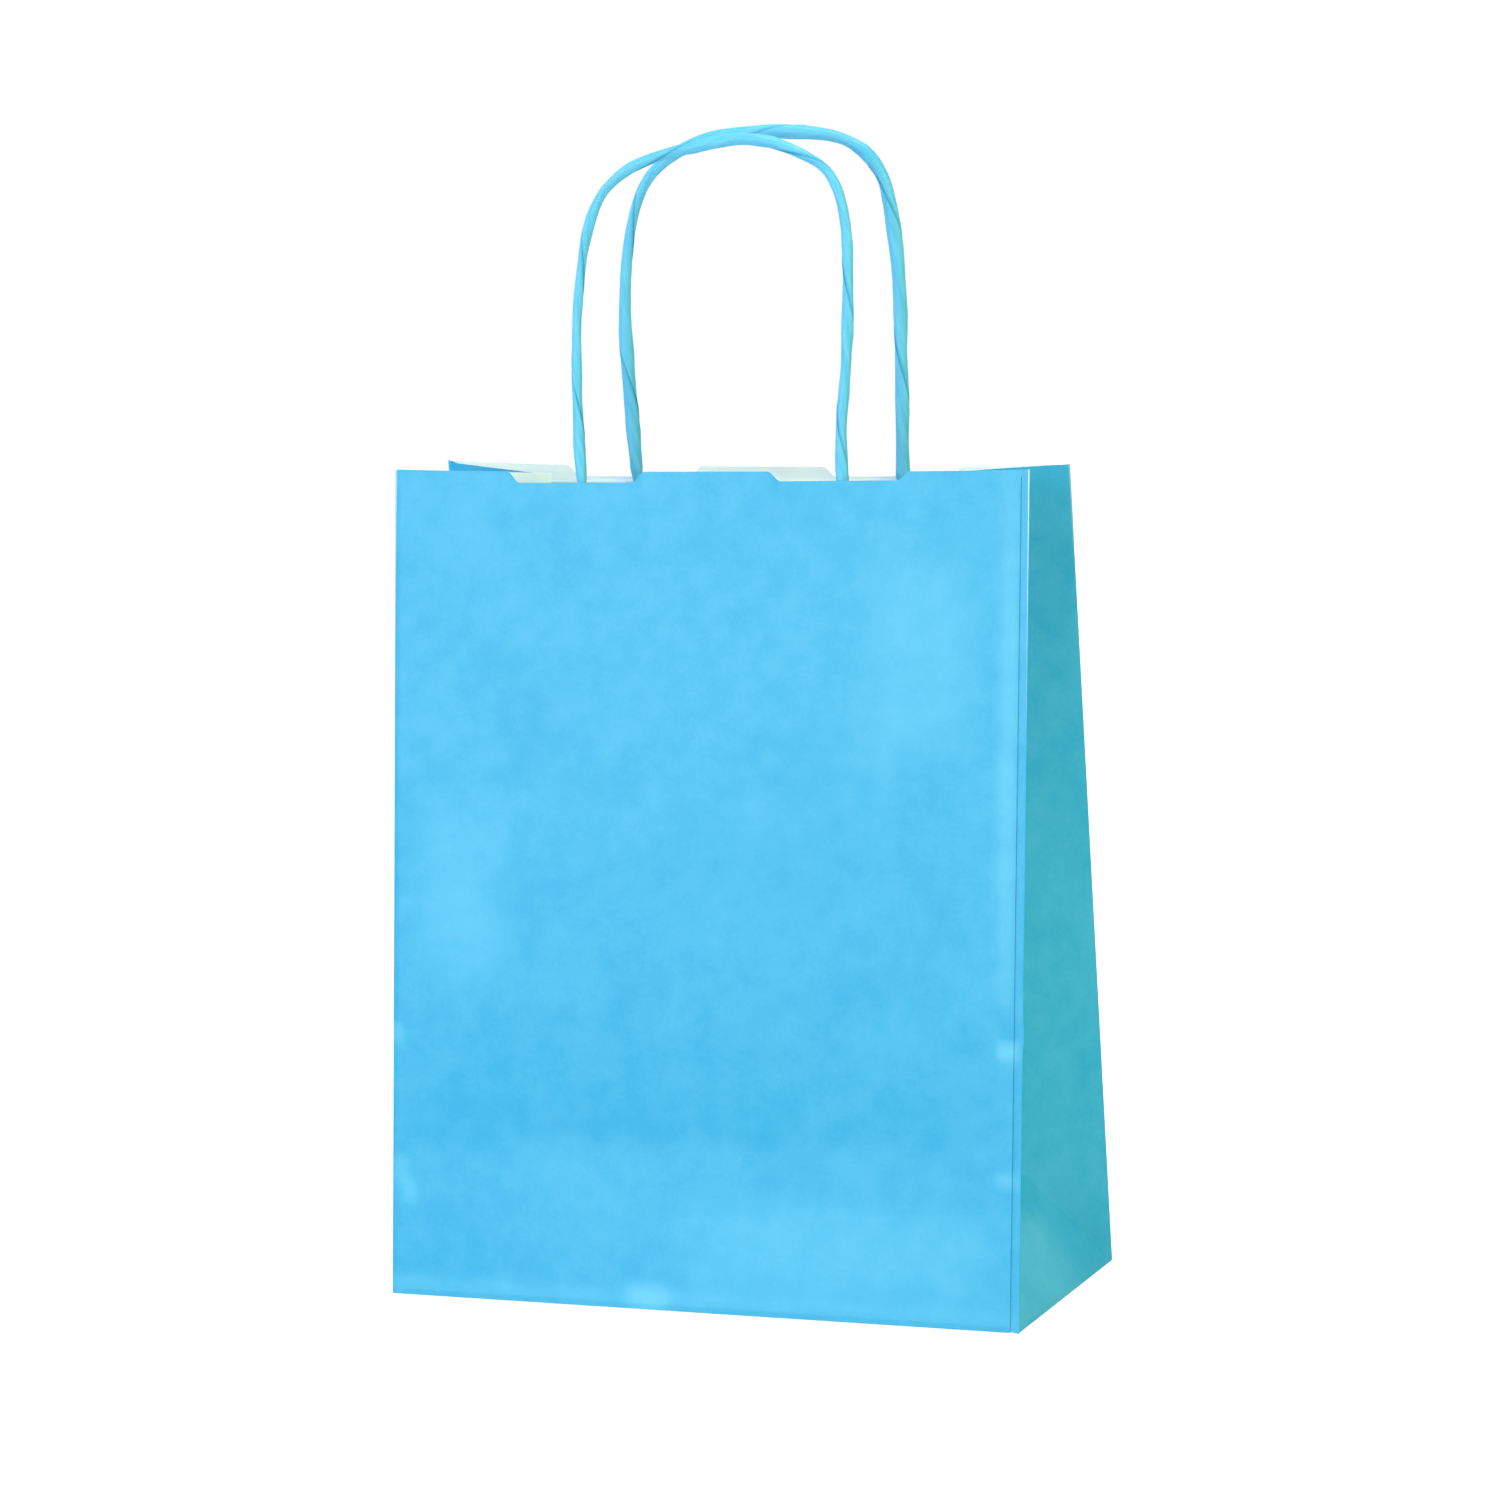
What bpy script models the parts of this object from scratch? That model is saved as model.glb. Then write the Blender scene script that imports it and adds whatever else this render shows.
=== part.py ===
"""Kraft paper carrier bag with folded side gussets and two twisted paper handles.

Metres, +Z up. The origin is on the floor, under the middle of the base. The front panel
faces -Y, and +X runs along it to the right.
"""
import math

import bmesh
import bpy
from mathutils import Vector

# Paper and clearances
PAPER = 0.0002                  # thickness of the bag's sheet
PATCH_PAPER = 0.00025           # thickness of the handle patches
FIT_GAP = 0.0003                # between two pieces that are glued together
GLUE_GAP = 0.0001               # between the two layers of the lengthwise lap

# Folded bag
BASE_WIDTH = 0.180
BASE_DEPTH = 0.085
PANEL_LENGTH = 0.2244           # from the base edge to the rim, along the paper
FRONT_RIM_INSET = 0.0215        # how far the front rim stands behind the base's front edge
BACK_RIM_INSET = 0.0278         # how far the back rim stands before the base's back edge
FRONT_RIM_DIP = 0.0006          # how far a rim sags between its corners
BACK_RIM_DIP = 0.0012
APEX_INSET = 0.018              # how far the point of a side triangle is pushed in
GUSSET_RIM_DROP = 0.0026        # how far a gusset's inner fold ends below the front rim

# Valley crease across the front, left from when the base lay folded flat
CREASE_ABOVE_APEX = 0.0022
CREASE_DEPTH = 0.0016
CREASE_FADE = 0.055             # height over which the dent above the crease runs out

# Notches in the rim, where the handle cords come out
NOTCH_INNER = 0.0175
NOTCH_OUTER = 0.0570
NOTCH_SLOPE = 0.0035
NOTCH_DEPTH = 0.0027
BACK_NOTCH_SHIFT = 0.003
NOTCH_CUT_REACH = 0.005         # how far the cut goes to each side of the panel

# Glued lap that closes the sheet into a tube
SEAM_INSET = 0.0026             # from the outer layer's cut edge to the right corner
LAP_WIDTH = 0.0115
LAP_FOOT = 0.001                # the lap's lower end stays this far above the base

# Base flaps
FLAP_OVERLAP = 0.025

# Handle patches
PATCH_SIDE_GAP = 0.0009         # from a patch's end to the lap
PATCH_HEIGHT = 0.042
PATCH_BELOW_NOTCH = 0.0015
CHANNEL_SLOPE = 0.0025          # width of a channel's sloping side

# Twisted paper cord
CORD_WIDTH = 0.0036
CORD_THICKNESS = 0.0025
CORD_TUCK = 0.034               # length of each end between the patches
TWIST_PITCH = 0.040

# Centre lines of the handles, from the left notch over the loop to the right notch. Each knot is
# (across, up) from the middle of the panel at the notch's foot.
FRONT_HANDLE_KNOTS = (
    (-0.0361, 0.0), (-0.0372, 0.0106), (-0.0379, 0.0234), (-0.0381, 0.0362), (-0.0379, 0.0460),
    (-0.0368, 0.0585), (-0.0348, 0.0679), (-0.0314, 0.0758), (-0.0263, 0.0809),
    (-0.0195, 0.0845), (-0.0110, 0.0872), (-0.0025, 0.0891), (0.0055, 0.0902),
    (0.0110, 0.0904), (0.0177, 0.0894), (0.0245, 0.0868), (0.0310, 0.0831), (0.0342, 0.0792),
    (0.0364, 0.0734), (0.0378, 0.0650), (0.0384, 0.0540), (0.0384, 0.0420), (0.0380, 0.0300),
    (0.0372, 0.0160), (0.0371, 0.0080), (0.0375, 0.0),
)
FRONT_HANDLE_LEAN = math.radians(5.5)
BACK_HANDLE_KNOTS = (
    (-0.0327, 0.0), (-0.0334, 0.0095), (-0.0343, 0.0226), (-0.0350, 0.0357), (-0.0350, 0.0460),
    (-0.0342, 0.0580), (-0.0326, 0.0680), (-0.0296, 0.0770), (-0.0254, 0.0827),
    (-0.0180, 0.0873), (-0.0095, 0.0909), (-0.0010, 0.0925), (0.0080, 0.0931),
    (0.0170, 0.0927), (0.0250, 0.0916), (0.0305, 0.0897), (0.0355, 0.0861), (0.0396, 0.0803),
    (0.0416, 0.0725), (0.0430, 0.0610), (0.0437, 0.0480), (0.04395, 0.0340), (0.0438, 0.0200),
    (0.0435, 0.0096), (0.0435, 0.0),
)
BACK_HANDLE_LEAN = 0.0

# Worked out from the sizes above
HALF_WIDTH = BASE_WIDTH / 2
HALF_DEPTH = BASE_DEPTH / 2
BASE_Z = 2 * PAPER              # the base sheet lies on the two flaps
FRONT_RIM_Y = -HALF_DEPTH + FRONT_RIM_INSET
BACK_RIM_Y = HALF_DEPTH - BACK_RIM_INSET
FRONT_RIM_Z = BASE_Z + math.sqrt(PANEL_LENGTH ** 2 - FRONT_RIM_INSET ** 2)
BACK_RIM_Z = BASE_Z + math.sqrt(PANEL_LENGTH ** 2 - BACK_RIM_INSET ** 2)
SEAM_X = HALF_WIDTH - SEAM_INSET
LAP_X = SEAM_X - LAP_WIDTH
CREASE_AT = HALF_DEPTH + CREASE_ABOVE_APEX
PATCH_WIDTH = 2 * (LAP_X - PATCH_SIDE_GAP)

# How squarely the dents and dips run out towards the corners
RUN_OUT = 4

# How finely the sheet is divided
ROWS_BELOW_APEX = 3
ROWS_IN_FADE = 4
ROWS_TO_RIM = 3
PANEL_COLUMNS = 12
GUSSET_COLUMNS = 2
MERGE_DISTANCE = 0.000001
KNOT_SAMPLES = 8                # between two knots of a handle, before resampling
CORD_STEP = 0.004               # distance between the points of a cord's route
CORD_SIDES = 12


def clear_scene():
    for old in list(bpy.data.objects):
        bpy.data.objects.remove(old, do_unlink=True)


def new_collection(name):
    collection = bpy.data.collections.new(name)
    bpy.context.scene.collection.children.link(collection)
    return collection


def new_material(name, colour, roughness):
    material = bpy.data.materials.new(name)
    material.use_nodes = True
    shader = material.node_tree.nodes["Principled BSDF"]
    shader.inputs["Base Color"].default_value = (*colour, 1.0)
    shader.inputs["Roughness"].default_value = roughness
    shader.inputs["Metallic"].default_value = 0.0
    return material


def object_from_bmesh(name, shape, collection, material=None):
    mesh = bpy.data.meshes.new(name)
    shape.to_mesh(mesh)
    shape.free()
    thing = bpy.data.objects.new(name, mesh)
    collection.objects.link(thing)
    if material:
        mesh.materials.append(material)
    return thing


def make_cutter(thing):
    thing.hide_render = True
    thing.display_type = 'WIRE'


def add_solidify(thing, thickness):
    """Thickens a surface to the side that its normals point away from."""
    solidify = thing.modifiers.new("Paper thickness", 'SOLIDIFY')
    solidify.thickness = thickness
    solidify.offset = -1.0
    solidify.use_even_offset = True
    solidify.use_rim = True


def add_boolean(thing, other, operation):
    boolean = thing.modifiers.new(other.name, 'BOOLEAN')
    boolean.operation = operation
    boolean.object = other
    boolean.solver = 'EXACT'


def spread(start, end, count):
    """count + 1 values from start to end, evenly apart."""
    return [start + (end - start) * step / count for step in range(count + 1)]


# Places on the folded sheet. "Along" is the distance from the base edge up the paper.

def between_corners(x):
    """1 over the middle of a panel, running out to 0 at its corners."""
    return 1.0 - (x / HALF_WIDTH) ** RUN_OUT


def front_base(x):
    return Vector((x, -HALF_DEPTH, BASE_Z))


def front_rim(x):
    return Vector((x, FRONT_RIM_Y, FRONT_RIM_Z - FRONT_RIM_DIP * between_corners(x)))


def back_base(x):
    return Vector((x, HALF_DEPTH, BASE_Z))


def back_rim(x):
    return Vector((x, BACK_RIM_Y, BACK_RIM_Z - BACK_RIM_DIP * between_corners(x)))


def apex(side):
    """Point of a side triangle. The mitre folds to it run at 45 degrees in the flat sheet."""
    height = math.sqrt(HALF_DEPTH ** 2 - APEX_INSET ** 2)
    return Vector((side * (HALF_WIDTH - APEX_INSET), 0.0, BASE_Z + height))


def gusset_rim(side):
    """Upper end of a gusset's inner fold, one half gusset away from both corners."""
    half_gap = (BACK_RIM_Y - FRONT_RIM_Y) / 2
    depth = math.sqrt(HALF_DEPTH ** 2 - half_gap ** 2 - GUSSET_RIM_DROP ** 2)
    middle_y = (FRONT_RIM_Y + BACK_RIM_Y) / 2
    return Vector((side * (HALF_WIDTH - depth), middle_y, FRONT_RIM_Z - GUSSET_RIM_DROP))


def crease_dent(x, along):
    """How far the front panel is pushed in, most at the crease and nothing at the corners."""
    if along <= CREASE_AT:
        share = along / CREASE_AT
    else:
        share = max(0.0, 1.0 - (along - CREASE_AT) / CREASE_FADE) ** 2
    return CREASE_DEPTH * share * between_corners(x)


def front_point(x, along, inward=0.0):
    point = front_base(x).lerp(front_rim(x), along / PANEL_LENGTH)
    point.y += crease_dent(x, along) + inward
    return point


def back_point(x, along):
    return back_base(x).lerp(back_rim(x), along / PANEL_LENGTH)


def fold_point(corner_base, side, along):
    """Inner edge of a half gusset: the mitre up to the apex, then the gusset's inner fold."""
    if along <= HALF_DEPTH:
        return corner_base.lerp(apex(side), along / HALF_DEPTH)
    share = (along - HALF_DEPTH) / (PANEL_LENGTH - HALF_DEPTH)
    return apex(side).lerp(gusset_rim(side), share)


def sheet_rows():
    """Distances along the paper at which the sheet has a row of points."""
    rows = spread(0.0, HALF_DEPTH, ROWS_BELOW_APEX)
    rows += spread(CREASE_AT, CREASE_AT + CREASE_FADE, ROWS_IN_FADE)
    rows += spread(CREASE_AT + CREASE_FADE, PANEL_LENGTH, ROWS_TO_RIM)[1:]
    return rows


def add_grid(shape, grid):
    """Faces between rows of points. Rows run upwards, and columns anticlockwise from above."""
    rows = [[shape.verts.new(point) for point in row] for row in grid]
    for lower, upper in zip(rows, rows[1:]):
        for left in range(len(lower) - 1):
            shape.faces.new((lower[left], lower[left + 1], upper[left + 1], upper[left]))


def add_gusset(shape, side):
    """Two half gussets that meet in the inner fold, and the triangle between their mitres."""
    corner_x = side * HALF_WIDTH
    front_half = []
    back_half = []
    for along in sheet_rows():
        front_edge = front_point(corner_x, along)
        back_edge = back_point(corner_x, along)
        front_fold = fold_point(front_base(corner_x), side, along)
        back_fold = fold_point(back_base(corner_x), side, along)
        shares = spread(0.0, 1.0, GUSSET_COLUMNS)
        front_half.append([front_edge.lerp(front_fold, share) for share in shares])
        back_half.append([back_fold.lerp(back_edge, share) for share in shares])
    triangle = []
    for along in spread(0.0, HALF_DEPTH, ROWS_BELOW_APEX):
        front_fold = fold_point(front_base(corner_x), side, along)
        back_fold = fold_point(back_base(corner_x), side, along)
        triangle.append([front_fold.lerp(back_fold, share) for share in (0.0, 0.5, 1.0)])
    for grid in (front_half, back_half, triangle):
        if side < 0:
            grid = [list(reversed(row)) for row in grid]
        add_grid(shape, grid)


def panel_columns():
    """Front panel columns, with the ones that the lap below it shares at the right."""
    return spread(-HALF_WIDTH, LAP_X, PANEL_COLUMNS)[:-1] + lap_columns()


def lap_columns():
    return spread(LAP_X, SEAM_X, 2)


def back_columns():
    return spread(HALF_WIDTH, -HALF_WIDTH, PANEL_COLUMNS)


def add_lap(shape):
    """Strip under the front panel's right edge, joined round the corner to the gusset."""
    grid = []
    for along in sheet_rows():
        row = [front_point(x, max(along, LAP_FOOT), PAPER + GLUE_GAP) for x in lap_columns()]
        row.append(front_point(HALF_WIDTH, along))
        grid.append(row)
    add_grid(shape, grid)


def add_base(shape):
    corners = [front_base(x) for x in panel_columns()]
    corners += [front_base(HALF_WIDTH), Vector((HALF_WIDTH, 0.0, BASE_Z))]
    corners += [back_base(x) for x in back_columns()]
    corners += [Vector((-HALF_WIDTH, 0.0, BASE_Z))]
    shape.faces.new([shape.verts.new(point) for point in reversed(corners)])


def make_flap(name, near_y, far_y, low_z, collection):
    """Base flap: a long edge on a fold of the base, and ends cut back by its mitres."""
    reach = abs(far_y - near_y)
    half_near = HALF_WIDTH - PAPER
    half_far = half_near - reach
    outline = [(-half_near, near_y), (half_near, near_y), (half_far, far_y), (-half_far, far_y)]
    shape = bmesh.new()
    face = shape.faces.new([shape.verts.new((x, y, low_z)) for x, y in outline])
    top = bmesh.ops.extrude_face_region(shape, geom=[face])
    moved = [part for part in top["geom"] if isinstance(part, bmesh.types.BMVert)]
    bmesh.ops.translate(shape, verts=moved, vec=(0.0, 0.0, BASE_Z + PAPER / 2 - low_z))
    bmesh.ops.recalc_face_normals(shape, faces=shape.faces)
    flap = object_from_bmesh(name, shape, collection)
    make_cutter(flap)
    return flap


def add_notch_prism(shape, inner_x, outer_x, slope_in, rim):
    """Trapezium prism across one panel, from under the rim to well above it."""
    foot_z = rim.z - NOTCH_DEPTH
    top_z = rim.z + NOTCH_DEPTH
    top_slope = 2 * slope_in
    outline = [(inner_x + slope_in, foot_z), (outer_x - slope_in, foot_z),
               (outer_x - slope_in + top_slope, top_z), (inner_x + slope_in - top_slope, top_z)]
    face = shape.faces.new([shape.verts.new((x, rim.y - NOTCH_CUT_REACH, z)) for x, z in outline])
    far = bmesh.ops.extrude_face_region(shape, geom=[face])
    moved = [part for part in far["geom"] if isinstance(part, bmesh.types.BMVert)]
    bmesh.ops.translate(shape, verts=moved, vec=(0.0, 2 * NOTCH_CUT_REACH, 0.0))


def make_notches(collection):
    shape = bmesh.new()
    for rim, shift in ((front_rim(0.0), 0.0), (back_rim(0.0), BACK_NOTCH_SHIFT)):
        for side in (-1, 1):
            inner_x = side * NOTCH_INNER + shift
            outer_x = side * NOTCH_OUTER + shift
            add_notch_prism(shape, inner_x, outer_x, side * NOTCH_SLOPE, rim)
    bmesh.ops.recalc_face_normals(shape, faces=shape.faces)
    notches = object_from_bmesh("rim_notches", shape, collection)
    make_cutter(notches)
    return notches


def make_bag_body(parts, cutters, material):
    """The folded sheet: panels, gussets, lap and base as one surface, given its thickness."""
    shape = bmesh.new()
    add_grid(shape, [[front_point(x, along) for x in panel_columns()] for along in sheet_rows()])
    add_grid(shape, [[back_point(x, along) for x in back_columns()] for along in sheet_rows()])
    add_gusset(shape, 1)
    add_gusset(shape, -1)
    add_lap(shape)
    add_base(shape)
    bmesh.ops.remove_doubles(shape, verts=shape.verts, dist=MERGE_DISTANCE)
    body = object_from_bmesh("bag_body", shape, parts, material)
    add_solidify(body, PAPER)
    flap_edge = HALF_DEPTH - PAPER
    front_flap = make_flap("front_base_flap", -flap_edge, FLAP_OVERLAP / 2, PAPER, cutters)
    back_flap = make_flap("back_base_flap", flap_edge, -FLAP_OVERLAP / 2, 0.0, cutters)
    add_boolean(body, front_flap, 'UNION')
    add_boolean(body, back_flap, 'UNION')
    add_boolean(body, make_notches(cutters), 'DIFFERENCE')
    return body


class PanelFrame:
    """Axes of the upper part of a panel, with its origin at the foot of the notches."""

    def __init__(self, base, rim, facing):
        self.up = (rim - base).normalized()
        self.inward = Vector((0.0, -facing * self.up.z, facing * self.up.y))
        self.origin = rim - self.up * (NOTCH_DEPTH / self.up.z)

    def point(self, x, inward, up):
        return self.origin + Vector((x, 0.0, 0.0)) + self.inward * inward + self.up * up


# Depths from a panel's outer face, as the glued layers follow each other
BACKING_AT = PAPER + FIT_GAP
CORD_AT = BACKING_AT + PATCH_PAPER + FIT_GAP + CORD_THICKNESS / 2
COVER_AT = BACKING_AT + PATCH_PAPER + FIT_GAP
CHANNEL_AT = CORD_AT + CORD_THICKNESS / 2 + FIT_GAP


def make_patch(name, frame, profile, parts, material):
    """Paper strip, from its section across the bag as (x, inward) points."""
    top = -PATCH_BELOW_NOTCH
    bottom = top - PATCH_HEIGHT
    shape = bmesh.new()
    lower = [frame.point(x, inward, bottom) for x, inward in profile]
    upper = [frame.point(x, inward, top) for x, inward in profile]
    add_grid(shape, [lower, upper])
    if frame.inward.y < 0:
        bmesh.ops.reverse_faces(shape, faces=shape.faces)
    patch = object_from_bmesh(name, shape, parts, material)
    add_solidify(patch, PATCH_PAPER)
    return patch


def handle_legs(knots):
    """Where a handle's two ends stand, across the panel."""
    return knots[0][0], knots[-1][0]


def cover_profile(legs):
    """Section of a patch cover: flat on the backing, raised in a channel over each leg."""
    half_floor = CORD_WIDTH / 2 + FIT_GAP
    half_mouth = half_floor + CHANNEL_SLOPE
    profile = [(-PATCH_WIDTH / 2, COVER_AT)]
    for leg in legs:
        profile += [(leg - half_mouth, COVER_AT), (leg - half_floor, CHANNEL_AT)]
        profile += [(leg + half_floor, CHANNEL_AT), (leg + half_mouth, COVER_AT)]
    profile += [(PATCH_WIDTH / 2, COVER_AT)]
    return profile


def smooth_line(knots):
    """Points on a smooth line through the knots."""
    places = [Vector((across, 0.0, up)) for across, up in knots]
    padded = [places[0], *places, places[-1]]
    line = []
    for before, start, end, after in zip(padded, padded[1:], padded[2:], padded[3:]):
        start_pull = (end - before) / 2
        end_pull = (after - start) / 2
        for t in spread(0.0, 1.0, KNOT_SAMPLES)[:-1]:
            line.append(start * (2 * t ** 3 - 3 * t ** 2 + 1) + start_pull * (t ** 3 - 2 * t ** 2 + t)
                        + end * (3 * t ** 2 - 2 * t ** 3) + end_pull * (t ** 3 - t ** 2))
    return line + [places[-1]]


def resample(points, step):
    """Points evenly apart on a line through the given ones."""
    lengths = [0.0]
    for first, second in zip(points, points[1:]):
        lengths.append(lengths[-1] + (second - first).length)
    count = round(lengths[-1] / step)
    even = []
    piece = 0
    for target in spread(0.0, lengths[-1], count):
        while piece < len(points) - 2 and lengths[piece + 1] < target:
            piece += 1
        share = (target - lengths[piece]) / (lengths[piece + 1] - lengths[piece])
        even.append(points[piece].lerp(points[piece + 1], share))
    return even, lengths[-1]


def make_cord_section(cutters):
    """Flattened section of the twisted cord, thin across the panel and wide along it."""
    section = bpy.data.curves.new("cord_section", 'CURVE')
    section.dimensions = '2D'
    spline = section.splines.new('POLY')
    spline.points.add(CORD_SIDES - 1)
    for number, point in enumerate(spline.points):
        angle = -2 * math.pi * number / CORD_SIDES
        point.co = (CORD_WIDTH / 2 * math.cos(angle), CORD_THICKNESS / 2 * math.sin(angle), 0.0, 1.0)
    spline.use_cyclic_u = True
    thing = bpy.data.objects.new("cord_section", section)
    cutters.objects.link(thing)
    make_cutter(thing)
    return thing


def make_handle(name, frame, knots, lean, section, parts, material):
    """Cord from one patch, up round the handle's loop and down into the same patch."""
    foot = frame.point(0.0, CORD_AT, 0.0)
    lean_up = Vector((0.0, math.sin(lean), math.cos(lean)))
    free = [foot + Vector((spot.x, 0.0, 0.0)) + lean_up * spot.z for spot in smooth_line(knots)]
    free, free_length = resample(free, CORD_STEP)
    tucks = round(CORD_TUCK / CORD_STEP)
    depths = spread(-CORD_TUCK, 0.0, tucks)[:-1]
    left_leg, right_leg = handle_legs(knots)
    first_end = [frame.point(left_leg, CORD_AT, up) for up in depths]
    last_end = [frame.point(right_leg, CORD_AT, up) for up in reversed(depths)]
    half_turns = round(free_length / (TWIST_PITCH / 2))
    twists = [0.0] * tucks
    twists += spread(0.0, math.pi * half_turns, len(free) - 1)
    twists += [twists[-1]] * tucks
    curve = bpy.data.curves.new(name, 'CURVE')
    curve.dimensions = '3D'
    curve.bevel_mode = 'OBJECT'
    curve.bevel_object = section
    curve.use_fill_caps = True
    route = first_end + free + last_end
    spline = curve.splines.new('POLY')
    spline.points.add(len(route) - 1)
    for point, place, twist in zip(spline.points, route, twists):
        point.co = (*place, 1.0)
        point.tilt = twist
    curve.materials.append(material)
    handle = bpy.data.objects.new(name, curve)
    parts.objects.link(handle)
    return handle


clear_scene()
parts = new_collection("kraft_paper_bag")
cutters = new_collection("cutters")

bag_paper = new_material("blue kraft paper", (0.13, 0.58, 0.90), 0.62)
cord_paper = new_material("blue twisted paper cord", (0.11, 0.53, 0.86), 0.58)
patch_paper = new_material("white kraft patch paper", (0.72, 0.84, 0.87), 0.75)

make_bag_body(parts, cutters, bag_paper)

front_frame = PanelFrame(front_base(0.0), front_rim(0.0), -1)
back_frame = PanelFrame(back_base(0.0), back_rim(0.0), 1)
cord_section = make_cord_section(cutters)

make_handle("front_handle_cord", front_frame, FRONT_HANDLE_KNOTS, FRONT_HANDLE_LEAN,
            cord_section, parts, cord_paper)
make_handle("back_handle_cord", back_frame, BACK_HANDLE_KNOTS, BACK_HANDLE_LEAN,
            cord_section, parts, cord_paper)

strip = [(-PATCH_WIDTH / 2, BACKING_AT), (PATCH_WIDTH / 2, BACKING_AT)]
make_patch("front_patch_backing", front_frame, strip, parts, patch_paper)
make_patch("back_patch_backing", back_frame, strip, parts, patch_paper)
front_cover = cover_profile(handle_legs(FRONT_HANDLE_KNOTS))
back_cover = cover_profile(handle_legs(BACK_HANDLE_KNOTS))
make_patch("front_patch_cover", front_frame, front_cover, parts, patch_paper)
make_patch("back_patch_cover", back_frame, back_cover, parts, patch_paper)
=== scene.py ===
"""Looks of the blue kraft paper carrier bag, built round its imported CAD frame."""
import math

import bmesh
import bpy
from mathutils import Matrix, Vector, noise


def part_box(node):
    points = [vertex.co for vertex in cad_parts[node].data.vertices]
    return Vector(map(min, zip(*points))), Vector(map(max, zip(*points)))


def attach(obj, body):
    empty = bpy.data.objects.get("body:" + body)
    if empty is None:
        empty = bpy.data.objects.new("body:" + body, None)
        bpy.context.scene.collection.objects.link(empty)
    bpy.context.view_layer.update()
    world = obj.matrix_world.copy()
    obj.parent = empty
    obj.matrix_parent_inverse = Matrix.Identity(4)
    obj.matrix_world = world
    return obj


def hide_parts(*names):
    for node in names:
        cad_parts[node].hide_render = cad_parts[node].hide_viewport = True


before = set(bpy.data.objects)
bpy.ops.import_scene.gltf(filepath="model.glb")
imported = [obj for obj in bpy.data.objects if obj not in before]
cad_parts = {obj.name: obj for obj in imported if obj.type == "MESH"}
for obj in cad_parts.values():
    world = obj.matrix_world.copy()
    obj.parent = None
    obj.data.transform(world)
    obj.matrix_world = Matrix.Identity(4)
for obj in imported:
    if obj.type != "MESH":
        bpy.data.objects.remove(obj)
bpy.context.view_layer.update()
scene = bpy.context.scene


# Camera
# It stands to the right of the bag's front and a little above its rim, far enough away for
# the nearly parallel edges that the photograph shows. It was held slightly off level.
CAMERA_PLACE = (0.4801, -1.2818, 0.3297)
CAMERA_TURN = math.radians(20.418)
CAMERA_DROP = math.radians(7.65)
CAMERA_ROLL = math.radians(-1.453)
camera_data = bpy.data.cameras.new("camera")
camera_data.sensor_width = 36.0
camera_data.lens = 122.5
camera = bpy.data.objects.new("camera", camera_data)
scene.collection.objects.link(camera)
camera.matrix_world = (
    Matrix.Translation(CAMERA_PLACE)
    @ Matrix.Rotation(CAMERA_TURN, 4, 'Z')
    @ Matrix.Rotation(math.pi / 2 - CAMERA_DROP, 4, 'X')
    @ Matrix.Rotation(CAMERA_ROLL, 4, 'Z')
)
scene.camera = camera
scene.view_settings.view_transform = 'Standard'


# Studio
# A white table before a white background, as for a catalogue picture. A small softbox and a
# wider one light the front from the left. One stands at each side, one overhead and one behind.
AMBIENT = 0.2
AMBIENT_COLOUR = "f0f8ff"
WHITE = (1.0, 1.0, 1.0, 1.0)
TABLE_SIZE = 8.0
TABLE_GLOW = 0.95
TABLE_GREY = "e6e6e6"         # what lights the bag from below
TABLE_SHOWN_GREY = "8c8c8c"   # what the camera sees under the glow, with the bag's shadow on it
AIM_HEIGHT = 0.15             # the softboxes point at this height on the bag's axis


def paint(code):
    """Linear colour of an sRGB hex value."""
    shares = [int(code[start:start + 2], 16) / 255 for start in (0, 2, 4)]
    linear = [s / 12.92 if s <= 0.04045 else ((s + 0.055) / 1.055) ** 2.4 for s in shares]
    return (*linear, 1.0)


def add_node(tree, kind, inputs=None, **settings):
    """Adds a shader node. Each input is a plain value, or an output of another node to link."""
    made = tree.nodes.new(kind)
    for name, value in settings.items():
        setattr(made, name, value)
    for socket, value in (inputs or {}).items():
        if isinstance(value, bpy.types.NodeSocket):
            tree.links.new(value, made.inputs[socket])
        else:
            made.inputs[socket].default_value = value
    return made


def shown_or_lit(tree, lit, shown):
    """Mixes two shaders: one lights the bag, the other is what the camera and gloss see."""
    eye = add_node(tree, 'ShaderNodeLightPath')
    mirror = add_node(tree, 'ShaderNodeMath', {0: eye.outputs["Is Glossy Ray"],
                                               1: eye.outputs["Is Transmission Ray"]},
                      operation='MAXIMUM')
    direct = add_node(tree, 'ShaderNodeMath', {0: eye.outputs["Is Camera Ray"],
                                               1: mirror.outputs[0]}, operation='MAXIMUM')
    return add_node(tree, 'ShaderNodeMixShader', {0: direct.outputs[0], 1: lit.outputs[0],
                                                  2: shown.outputs[0]})


world = bpy.data.worlds.new("white_background")
scene.world = world
world.use_nodes = True
sky = world.node_tree
sky.nodes.clear()
ambient = add_node(sky, 'ShaderNodeBackground', {"Color": paint(AMBIENT_COLOUR),
                                                 "Strength": AMBIENT})
backdrop = add_node(sky, 'ShaderNodeBackground', {"Color": WHITE, "Strength": 1.0})
seen = shown_or_lit(sky, ambient, backdrop)
add_node(sky, 'ShaderNodeOutputWorld', {"Surface": seen.outputs[0]})

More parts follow.
